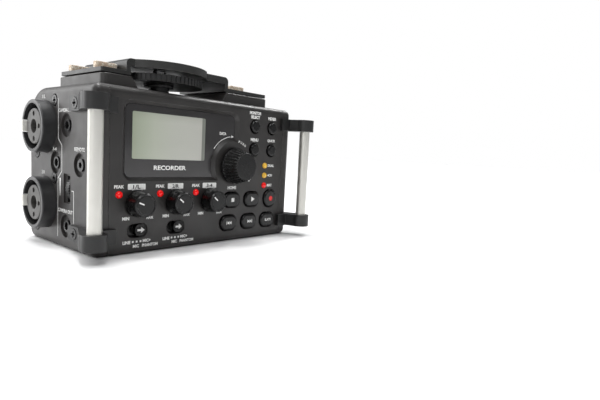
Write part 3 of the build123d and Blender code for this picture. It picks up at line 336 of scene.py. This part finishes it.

# the lighter edge colours given below paint rubbed wear together with an edge highlight
SLOT_MATERIALS = {
    "front_plastic": moulded("front_plastic", tuple(0.75 * c for c in CHARCOAL), 0.40, edge_wear_and_highlight=RUBBED_AND_LIT_EDGE),
    "casing_plastic": moulded("casing_plastic", CHARCOAL, 0.42, edge_wear_and_highlight=RUBBED_AND_LIT_EDGE),
    "brass": turned_metal("brass", (0.72, 0.50, 0.22), 0.28, 0.2, (1, 1, 0.02)),
    "window": window_acrylic(),
    "lcd": lcd_glass(screen_low, screen_high),
    "circuit_board": circuit_board(),
    "inner_plastic": moulded("inner_plastic", (0.03, 0.03, 0.03), 0.5),
    "red_light": light_pipe("red_light", (0.55, 0.0, 0.0), 0.6),
    "amber_light": light_pipe("amber_light", (0.55, 0.32, 0.03), 0.3),
    "socket_plastic": moulded("socket_plastic", (0.020, 0.020, 0.021), 0.34, 0.3, 0.004),
    "core_plastic": moulded("core_plastic", (0.052, 0.050, 0.047), 0.45, 0.3, 0.006),
    "jack_plastic": moulded("jack_plastic", (0.008, 0.008, 0.008), 0.3, 0.3, 0.003),
    "cell_wrap": cell_wrap(),
    "bar_aluminium": turned_metal("bar_aluminium", (0.66, 0.65, 0.61), 0.46, 0.12, (1, 1, 0.08)),
    "bracket_plastic": moulded("bracket_plastic", (0.007, 0.007, 0.007), 0.42, edge_wear_and_highlight=(0.09, 0.09, 0.085)),
    "screw_steel": turned_metal("screw_steel", (0.045, 0.045, 0.045), 0.28, 0.1, (1, 1, 1)),
    "shaft_steel": turned_metal("shaft_steel", (0.60, 0.60, 0.60), 0.28, 0.15, (1, 8, 8)),
    "plate_metal": moulded("plate_metal", (0.016, 0.016, 0.015), 0.40, 0.3, 0.010, edge_wear_and_highlight=(0.22, 0.22, 0.22)),
    "pad_cork": cork(),
    "wheel_plastic": moulded("wheel_plastic", (0.008, 0.008, 0.008), 0.42, edge_wear_and_highlight=(0.05, 0.05, 0.05)),
    "knob_plastic": moulded(
        "knob_plastic", CONTROL_BLACK, 0.25, 0.3, 0.002, edge_wear_and_highlight=(0.2, 0.2, 0.2), Specular_IOR_Level=0.3
    ),
    "latch_metal": moulded("latch_metal", (0.80, 0.79, 0.74), 0.3, 0.3, 0.004, Metallic=0.35),
    "key_rubber": moulded("key_rubber", CONTROL_BLACK, 0.24, 0.4, 0.002, Specular_IOR_Level=0.35),
}


def dress_cad_nodes():
    """Each CAD node takes its slot's material."""
    for row in frame["record"]["subparts"]:
        mesh = frame["nodes"][row["node"]].data
        mesh.materials.clear()
        mesh.materials.append(SLOT_MATERIALS[row["material_slot"]])


# ---- printed marks --------------------------------------------------------------------
class Print:
    """Thin closed shapes that are collected into one piece."""

    def __init__(self, base=0.0, weight=0.004):
        self.mesh = bmesh.new()
        self.weight = weight  # how much the letters are thickened
        self.bottom = (base - INK_SINK) * MM
        self.top = (base + INK_RISE) * MM

    def shape(self, outline, place):
        """Flat shape from its outline in millimetres, counter-clockwise."""
        rings = []
        for level in (self.bottom, self.top):
            corners = [place @ Vector((x * MM, y * MM, level)) for x, y in outline]
            rings.append([self.mesh.verts.new(corner) for corner in corners])
        low, high = rings
        self.mesh.faces.new(high)
        self.mesh.faces.new(low[::-1])
        for i, corner in enumerate(low):
            following = (i + 1) % len(low)
            self.mesh.faces.new((corner, low[following], high[following], high[i]))

    def rectangle(self, wide, high, place, corner=0.0, x=0.0, y=0.0):
        """Rectangle about (x, y), its corners rounded if asked."""
        if corner == 0:
            corners = [(-1, -1), (1, -1), (1, 1), (-1, 1)]
            self.shape([(x + a * wide / 2, y + b * high / 2) for a, b in corners], place)
            return
        outline = []
        for quarter, (a, b) in enumerate([(1, 1), (-1, 1), (-1, -1), (1, -1)]):
            for step in range(6):
                turn = (quarter + step / 5) * pi / 2
                centre_x = x + a * (wide / 2 - corner)
                centre_y = y + b * (high / 2 - corner)
                outline.append((centre_x + corner * cos(turn), centre_y + corner * sin(turn)))
        self.shape(outline, place)

    def disc(self, radius, place, x=0.0, y=0.0):
        turns = [2 * pi * step / 24 for step in range(24)]
        self.shape([(x + radius * cos(t), y + radius * sin(t)) for t in turns], place)

    def line(self, points, place, width=STROKE):
        """Straight strokes with round joints."""
        for (x0, y0), (x1, y1) in zip(points, points[1:]):
            along = Vector((x1 - x0, y1 - y0)).normalized()
            side = Vector((-along.y, along.x)) * width / 2
            outline = [(x0 - side.x, y0 - side.y), (x1 - side.x, y1 - side.y)]
            outline += [(x1 + side.x, y1 + side.y), (x0 + side.x, y0 + side.y)]
            self.shape(outline, place)

    def arc(self, radius, start, end, place, width=STROKE):
        """Stroke along part of a circle, angles in degrees counter-clockwise from +X."""
        steps = 24
        turns = [radians(start + (end - start) * step / steps) for step in range(steps + 1)]
        outline = [((radius + width / 2) * cos(t), (radius + width / 2) * sin(t)) for t in turns]
        outline += [((radius - width / 2) * cos(t), (radius - width / 2) * sin(t)) for t in reversed(turns)]
        self.shape(outline if end > start else outline[::-1], place)

    def word(self, text, width, place, x=0.0, y=0.0, cap=CAP_HEIGHT):
        """Text about (x, y), fitted to a width and a capital height."""
        curve = bpy.data.curves.new("lettering", "FONT")
        curve.body = text
        curve.resolution_u = 3
        curve.extrude = 0.5
        curve.offset = self.weight
        holder = bpy.data.objects.new("lettering", curve)
        bpy.context.scene.collection.objects.link(holder)
        graph = bpy.context.evaluated_depsgraph_get()
        mesh = bpy.data.meshes.new_from_object(holder.evaluated_get(graph))
        points = [v.co for v in mesh.vertices]
        left, right = min(p.x for p in points), max(p.x for p in points)
        low, high = min(p.y for p in points), max(p.y for p in points)
        fit = Matrix.Diagonal((width / (right - left), cap / (high - low), 1, 1))
        centred = fit @ Matrix.Translation((-(left + right) / 2, -(low + high) / 2, 0))
        known = len(self.mesh.verts)
        self.mesh.from_mesh(mesh)
        self.mesh.verts.ensure_lookup_table()
        for vertex in self.mesh.verts[known:]:
            flat = centred @ vertex.co
            level = self.top if flat.z > 0 else self.bottom
            vertex.co = place @ Vector(((x + flat.x) * MM, (y + flat.y) * MM, level))
        bpy.data.objects.remove(holder)
        bpy.data.curves.remove(curve)
        bpy.data.meshes.remove(mesh)

    def bent_word(self, text, radius, middle_angle, pitch, place, cap=SMALL_CAP):
        """Letters round a circle; angles in degrees, pitch is the angle between letters."""
        start = middle_angle + pitch * (len(text) - 1) / 2
        for count, letter in enumerate(text):
            angle = radians(start - pitch * count)
            spot = Matrix.Translation((radius * cos(angle) * MM, radius * sin(angle) * MM, 0))
            width = 0.3 * cap if letter == "I" else 0.75 * cap
            self.word(letter, width, place @ spot @ Matrix.Rotation(angle - pi / 2, 4, "Z"), cap=cap)

    def piece(self, name, material, body, slot=None):
        """The collected shapes as one object that rides on a body."""
        bmesh.ops.remove_doubles(self.mesh, verts=self.mesh.verts, dist=1e-7)
        bmesh.ops.recalc_face_normals(self.mesh, faces=self.mesh.faces)
        return add_piece(name, self.mesh, material, body)


def add_piece(name, mesh, material, body, smooth=False):
    """Object from a bmesh, with its material, on its CAD body."""
    data = bpy.data.meshes.new(name)
    mesh.to_mesh(data)
    mesh.free()
    data.materials.append(material)
    for polygon in data.polygons:
        polygon.use_smooth = smooth
    piece = bpy.data.objects.new(name, data)
    bpy.context.scene.collection.objects.link(piece)
    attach(piece, body)
    return piece


def front_marks():
    """Function names and lines on the front panel and in the display pocket."""
    white, dark = Print(weight=0.04), Print(base=INK_RISE, weight=0.025)
    channel_names = ("1/L", "2/R", "3-4")
    for number, channel in enumerate(channel_names, start=1):
        knob = middle(f"gain_knob_{number}")
        place = on_front(knob.x, knob.z)
        white.word("PEAK", 4.6, place, x=-8.5, y=7.7)
        white.rectangle(8.6, 2.6, place, corner=0.35, x=-0.2, y=7.6)
        dark.word(channel, 3.6, place, x=-0.2, y=7.6, cap=1.7)
        white.bent_word("GAIN", 6.85, 90, 13, place, cap=0.95)
        white.word("MIN", 3.3, place, x=-5.2, y=-6.3)
        white.word("MAX", 3.5, place, x=6.6, y=-6.5, cap=1.2)
    for number in (1, 2):
        knob = middle(f"input_switch_{number}")
        place = on_front(knob.x, knob.z)
        white.word("LINE", 3.7, place, x=-7.3, y=-5.0)
        for step in range(3):
            white.rectangle(0.85, 0.85, place, x=-4.3 + 1.9 * step, y=-4.9)
        white.word("MIC+", 4.0, place, x=2.6, y=-4.8)
        white.word("MIC", 3.0, place, x=-2.7, y=-6.9)
        white.word("PHANTOM", 8.0, place, x=4.3, y=-6.9)
    names = {"monitor_button": ("SELECT", 6.7, 5.2), "mixer_button": ("MIXER", 6.4, 5.4)}
    names["menu_button"] = ("MENU", 5.7, 5.4)
    names["quick_button"] = ("QUICK", 6.2, 5.4)
    names["stop_key"] = ("HOME", 5.8, 6.4)
    for node, (text, width, rise) in names.items():
        key = middle(node)
        white.word(text, width, on_front(key.x, key.z), y=rise, cap=1.7)
    monitor = middle("monitor_button")
    white.word("MONITOR", 8.6, on_front(monitor.x, monitor.z), y=7.4, cap=1.7)
    lamp_low, lamp_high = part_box("amber_lights")
    lamp_x = (lamp_low.x + lamp_high.x) / 2
    lamps = {
        "DUAL": lamp_high.z - LAMP_RADIUS * MM,
        "4CH": lamp_low.z + LAMP_RADIUS * MM,
        "REC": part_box("red_lights")[1].z - LAMP_RADIUS * MM,
    }
    for text, height in lamps.items():
        white.word(text, 1.25 * len(text), on_front(lamp_x, height), x=2.6 + 0.6 * len(text))
    dial = middle("data_dial")
    place = on_front(dial.x, dial.z)
    white.bent_word("PUSH", 13.1, 66, 6.8, place, cap=1.3)
    white.bent_word("ENTER", 13.6, -23, 6.4, place, cap=1.3)
    white.piece("front_marks", white_ink, "casing")
    dark.piece("channel_marks", dark_ink, "casing")
    window_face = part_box("display_window")[0].y
    pocket = Print(weight=0.03)
    dial_place = on_front(dial.x, dial.z, window_face)
    pocket.word("DATA", 4.2, dial_place, x=-7.0, y=16.4)
    pocket.arc(15.1, 97, 146, dial_place, width=0.3)
    pocket.shape([(-1.2, 14.4), (0.3, 15.1), (-1.2, 15.8)], dial_place)
    screen_x = (screen_low.x + screen_high.x) / 2
    pocket.word("RECORDER", 17.6, on_front(screen_x, screen_low.z, window_face), x=0.0, y=-3.8, cap=2.1)
    pocket.piece("window_marks", white_ink, "casing")


def key_marks():
    """Symbols on the keys, pointers on the knobs and arrows on the slide switches."""

    def on_key(node):
        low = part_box(node)[0]
        return on_front(middle(node).x, middle(node).z, low.y)

    def triangle(mark, place, x, direction):
        points = [(x - 0.7 * direction, -0.95), (x + 0.7 * direction, 0), (x - 0.7 * direction, 0.95)]
        mark.shape(points if direction > 0 else points[::-1], place)

    stop = Print()
    stop.rectangle(2.0, 2.0, on_key("stop_key"))
    stop.piece("stop_symbol", white_ink, "stop_key")
    play = Print()
    play.shape([(-1.0, -1.35), (1.4, 0), (-1.0, 1.35)], on_key("play_key"))
    play.piece("play_symbol", white_ink, "play_key")
    dot = Print()
    dot.disc(1.35, on_key("record_key"))
    dot.piece("record_symbol", red_ink, "record_key")
    for node, direction in (("previous_key", -1), ("next_key", 1)):
        mark = Print()
        for x in (-0.75, 0.75):
            triangle(mark, on_key(node), x, direction)
        mark.rectangle(0.4, 1.9, on_key(node), x=1.75 * direction)
        mark.piece(node.replace("key", "symbol"), white_ink, node)
    slate = Print(weight=0.03)
    slate.word("SLATE", 4.8, on_key("slate_key"), cap=1.4)
    slate.piece("slate_symbol", white_ink, "slate_key")
    for number, lean in enumerate(POINTER_LEANS, start=1):
        knob = f"gain_knob_{number}"
        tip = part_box(knob)[0].y
        place = on_front(middle(knob).x, middle(knob).z, tip) @ Matrix.Rotation(radians(lean), 4, "Z")
        pointer = Print(base=-0.1)
        pointer.rectangle(0.6, 2.6, place, corner=0.15, y=2.25)
        pointer.piece(f"knob_pointer_{number}", white_ink, knob)
    for number in (1, 2):
        slider = f"input_switch_{number}"
        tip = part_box(slider)[0].y
        arrow = Print()
        place = on_front(middle(slider).x, middle(slider).z, tip)
        arrow.shape([(-1.7, -0.45), (0.2, -0.45), (0.2, 0.45), (-1.7, 0.45)], place)
        arrow.shape([(0.1, -1.4), (1.8, 0), (0.1, 1.4)], place)
        arrow.piece(f"slider_arrow_{number}", white_ink, slider)


def side_marks():
    """Socket names and guide lines on both side panels and the rear door."""
    left = Print()
    upper, lower = middle("upper_combo_core"), middle("lower_combo_core")
    remote, wheel = middle("remote_jack"), middle("output_level_wheel")
    jack_low, jack_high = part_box("stereo_jacks")
    half = JACK_HALF * MM
    jack_depth = jack_low.y + half
    line_depth = jack_high.y - half
    top_jack, bottom_jack = jack_high.z - half, jack_low.z + half
    left.word("1/L", 3.6, on_left(upper.y, upper.z), x=-2.2, y=14.0, cap=1.7)
    left.word("2/R", 3.6, on_left(lower.y, lower.z), x=-2.6, y=14.0, cap=1.7)
    left.word("3-4", 3.8, on_left(line_depth, remote.z), x=-0.9, y=6.1, cap=1.5)
    left.word("CAMERA IN", 11.6, on_left(jack_depth, top_jack), x=-1.7, y=6.6, cap=1.6)
    left.word("CAMERA OUT", 14.4, on_left(jack_depth, bottom_jack), x=-0.5, y=6.7, cap=1.6)
    left.word("REMOTE", 9.2, on_left(remote.y, remote.z), y=6.65, cap=1.6)
    fence = [(33.5, 67.2), (33.4, 49.3), (29.8, 46.5), (29.7, 34.9), (33.6, 31.5), (33.7, 4.8)]
    left.line([(-depth, height) for depth, height in fence], on_left(FRONT, 0), width=0.3)
    bracket = [(20.0, 26.8), (18.0, 26.8), (17.8, 12.6)]
    left.line([(-depth, height) for depth, height in bracket], on_left(FRONT, 0), width=0.3)
    wedge = [(-0.15, -4.0), (0.15, -4.0), (0.65, 4.0), (-0.65, 4.0)]
    left.shape(wedge, on_left(wheel.y, wheel.z) @ Matrix.Translation((-5.6 * MM, 0.6 * MM, 0)))
    left.piece("left_marks", white_ink, "casing")
    right = Print()
    phones, hold, door = middle("phones_level_wheel"), middle("hold_switch"), middle("card_door")
    right.word("PHONES", 7.4, on_right(jack_depth, top_jack), y=7.3)
    right.word("LINE OUT", 8.6, on_right(jack_depth, bottom_jack), y=7.6)
    right.shape(wedge, on_right(phones.y, phones.z) @ Matrix.Translation((-5.6 * MM, 0, 0)))
    right.word("HOLD", 5.0, on_right(hold.y, hold.z), y=7.6)
    right.line([(2.9, -2.2), (2.9, 2.2)], on_right(hold.y, hold.z), width=0.4)
    right.shape([(2.2, 2.0), (3.6, 2.0), (2.9, 3.4)], on_right(hold.y, hold.z))
    right.word("CARD", 5.2, on_right(door.y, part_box("card_door")[1].z), y=2.2)
    right.piece("right_marks", white_ink, "casing")
    hatch = Print()
    hatch_place = on_rear(middle("battery_door").x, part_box("battery_door")[1].z)
    hatch.word("OPEN", 5.0, hatch_place, y=-8.6)
    hatch.shape([(-1.2, -11.2), (0, -12.6), (1.2, -11.2)], hatch_place)
    hatch.piece("battery_door_marks", white_ink, "battery_door")


def display():
    """The display's visible area, seen through the window."""
    view = Print()
    centre = (screen_low + screen_high) / 2
    place = on_front(centre.x, centre.z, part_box("display_window")[0].y)
    wide, high = (screen_high.x - screen_low.x) / MM, (screen_high.z - screen_low.z) / MM
    view.rectangle(wide, high, place, corner=0.7)
    view.piece("display_view", SLOT_MATERIALS["lcd"], "casing", "lcd")


# ---- cork pads ------------------------------------------------------------------------
def cork_pads():
    """The four pads on the camera plate, cut from pressed cork with softened edges."""
    low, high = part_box("plate_pads")
    half = (low + high) / 2
    corners = [v.co for v in frame["nodes"]["plate_pads"].data.vertices]
    pads = bmesh.new()
    for right_side in (False, True):
        for rear_side in (False, True):
            own = [c for c in corners if (c.x > half.x) == right_side and (c.y > half.y) == rear_side]
            strip_low = Vector([min(c[i] for c in own) for i in range(3)])
            strip_high = Vector([max(c[i] for c in own) for i in range(3)])
            add_strip(pads, strip_low, strip_high)
    piece = add_piece("cork_pads", pads, SLOT_MATERIALS["pad_cork"], "casing", smooth=True)
    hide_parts("plate_pads")
    return piece


def add_strip(mesh, low, high):
    """A block with rounded, slightly crumbly faces between two corners."""
    radius, rough = 0.35 * MM, 0.05 * MM
    size, centre = high - low, (low + high) / 2
    inner = size / 2 - Vector((radius, radius, radius))
    strip = bmesh.new()
    bmesh.ops.create_cube(strip, size=1.0)
    bmesh.ops.subdivide_edges(strip, edges=strip.edges[:], cuts=11, use_grid_fill=True)
    for vertex in strip.verts:
        point = Vector([c * s for c, s in zip(vertex.co, size)])
        core = Vector([max(-i, min(i, p)) for p, i in zip(point, inner)])
        outward = (point - core).normalized()
        crumb = noise.noise((centre + point) / (0.8 * MM)) * rough
        vertex.co = centre + core + outward * (radius + crumb - rough)
    block = bpy.data.meshes.new("strip")
    strip.to_mesh(block)
    strip.free()
    mesh.from_mesh(block)
    bpy.data.meshes.remove(block)


# ---- stage, light and camera ----------------------------------------------------------
def studio():
    """White floor that glows further out, soft light overhead and softboxes round the object."""
    ground = bmesh.new()
    bmesh.ops.create_circle(ground, cap_ends=True, radius=6.0, segments=96)
    data = bpy.data.meshes.new("floor")
    ground.to_mesh(data)
    ground.free()
    pale = Finish("floor_paper", (0.88, 0.88, 0.88), 0.7)
    pale.mottle(400.0, (0.90, 0.90, 0.90)).uneven(200.0, 0.05).grain(1.0, 0.01)
    reach = pale.node("ShaderNodeVectorMath", links={0: pale.place})
    reach.operation = "LENGTH"
    glow = pale.ranged(reach.outputs["Value"], 0, 0.36, 0.35, 1.6)
    pale.shader.inputs["Emission Color"].default_value = (1, 1, 1, 1)
    pale.tree.links.new(glow, pale.shader.inputs["Emission Strength"])
    data.materials.append(pale.material)
    floor = bpy.data.objects.new("floor", data)
    bpy.context.scene.collection.objects.link(floor)

    world = bpy.data.worlds.new("studio")
    bpy.context.scene.world = world
    world.use_nodes = True
    tree = world.node_tree
    lit = tree.nodes["Background"]
    lit.inputs["Color"].default_value = (0.95, 0.97, 1.0, 1)
    lit.inputs["Strength"].default_value = 0.24
    seen = tree.nodes.new("ShaderNodeBackground")
    seen.inputs["Color"].default_value = (1, 1, 1, 1)
    rays = tree.nodes.new("ShaderNodeLightPath")
    mix = tree.nodes.new("ShaderNodeMixShader")
    tree.links.new(rays.outputs["Is Camera Ray"], mix.inputs["Fac"])
    tree.links.new(lit.outputs["Background"], mix.inputs[1])
    tree.links.new(seen.outputs["Background"], mix.inputs[2])
    tree.links.new(mix.outputs["Shader"], tree.nodes["World Output"].inputs["Surface"])

    aim = (cad_low + cad_high) / 2
    softboxes = {
        "backdrop_light": ((-0.75, 1.0, 0.55), 1.0, 11.0),
        "high_light": ((-0.28, -0.55, 0.85), 0.22, 2.2),
        "left_light": ((-1.1, -0.35, 0.35), 0.5, 1.2),
        "top_light": ((-0.03, 0.10, 0.95), 0.2, 4.0),
        "rim_light": ((0.72, 0.08, 0.80), 0.22, 4.5),
    }
    for name, (place, size, power) in softboxes.items():
        lamp = bpy.data.lights.new(name, "AREA")
        lamp.shape = "SQUARE"
        lamp.size = size
        lamp.energy = power
        holder = bpy.data.objects.new(name, lamp)
        bpy.context.scene.collection.objects.link(holder)
        holder.location = place
        holder.rotation_euler = (aim - Vector(place)).to_track_quat("-Z", "Y").to_euler()
    overhead = bpy.data.lights.new("overhead", "SUN")
    overhead.energy = 1.9
    overhead.angle = radians(80)
    sky = bpy.data.objects.new("overhead", overhead)
    bpy.context.scene.collection.objects.link(sky)
    sky.rotation_euler = (radians(-14), radians(-10), 0)
    bpy.context.scene.view_settings.view_transform = "Standard"


def camera():
    """Camera at the viewing angle of a close product shot."""
    lens = bpy.data.cameras.new("camera")
    lens.lens = CAMERA_LENS
    lens.clip_start = 0.01
    holder = bpy.data.objects.new("camera", lens)
    bpy.context.scene.collection.objects.link(holder)
    heading = Matrix.Rotation(-radians(CAMERA_HEADING), 4, "Z")
    tilt = Matrix.Rotation(radians(90 - CAMERA_TILT), 4, "X")
    roll = Matrix.Rotation(radians(CAMERA_ROLL), 4, "Z")
    holder.matrix_world = Matrix.Translation(CAMERA_PLACE) @ heading @ tilt @ roll
    bpy.context.scene.camera = holder


camera()
studio()
dress_cad_nodes()
front_marks()
key_marks()
side_marks()
display()
cork_pads()
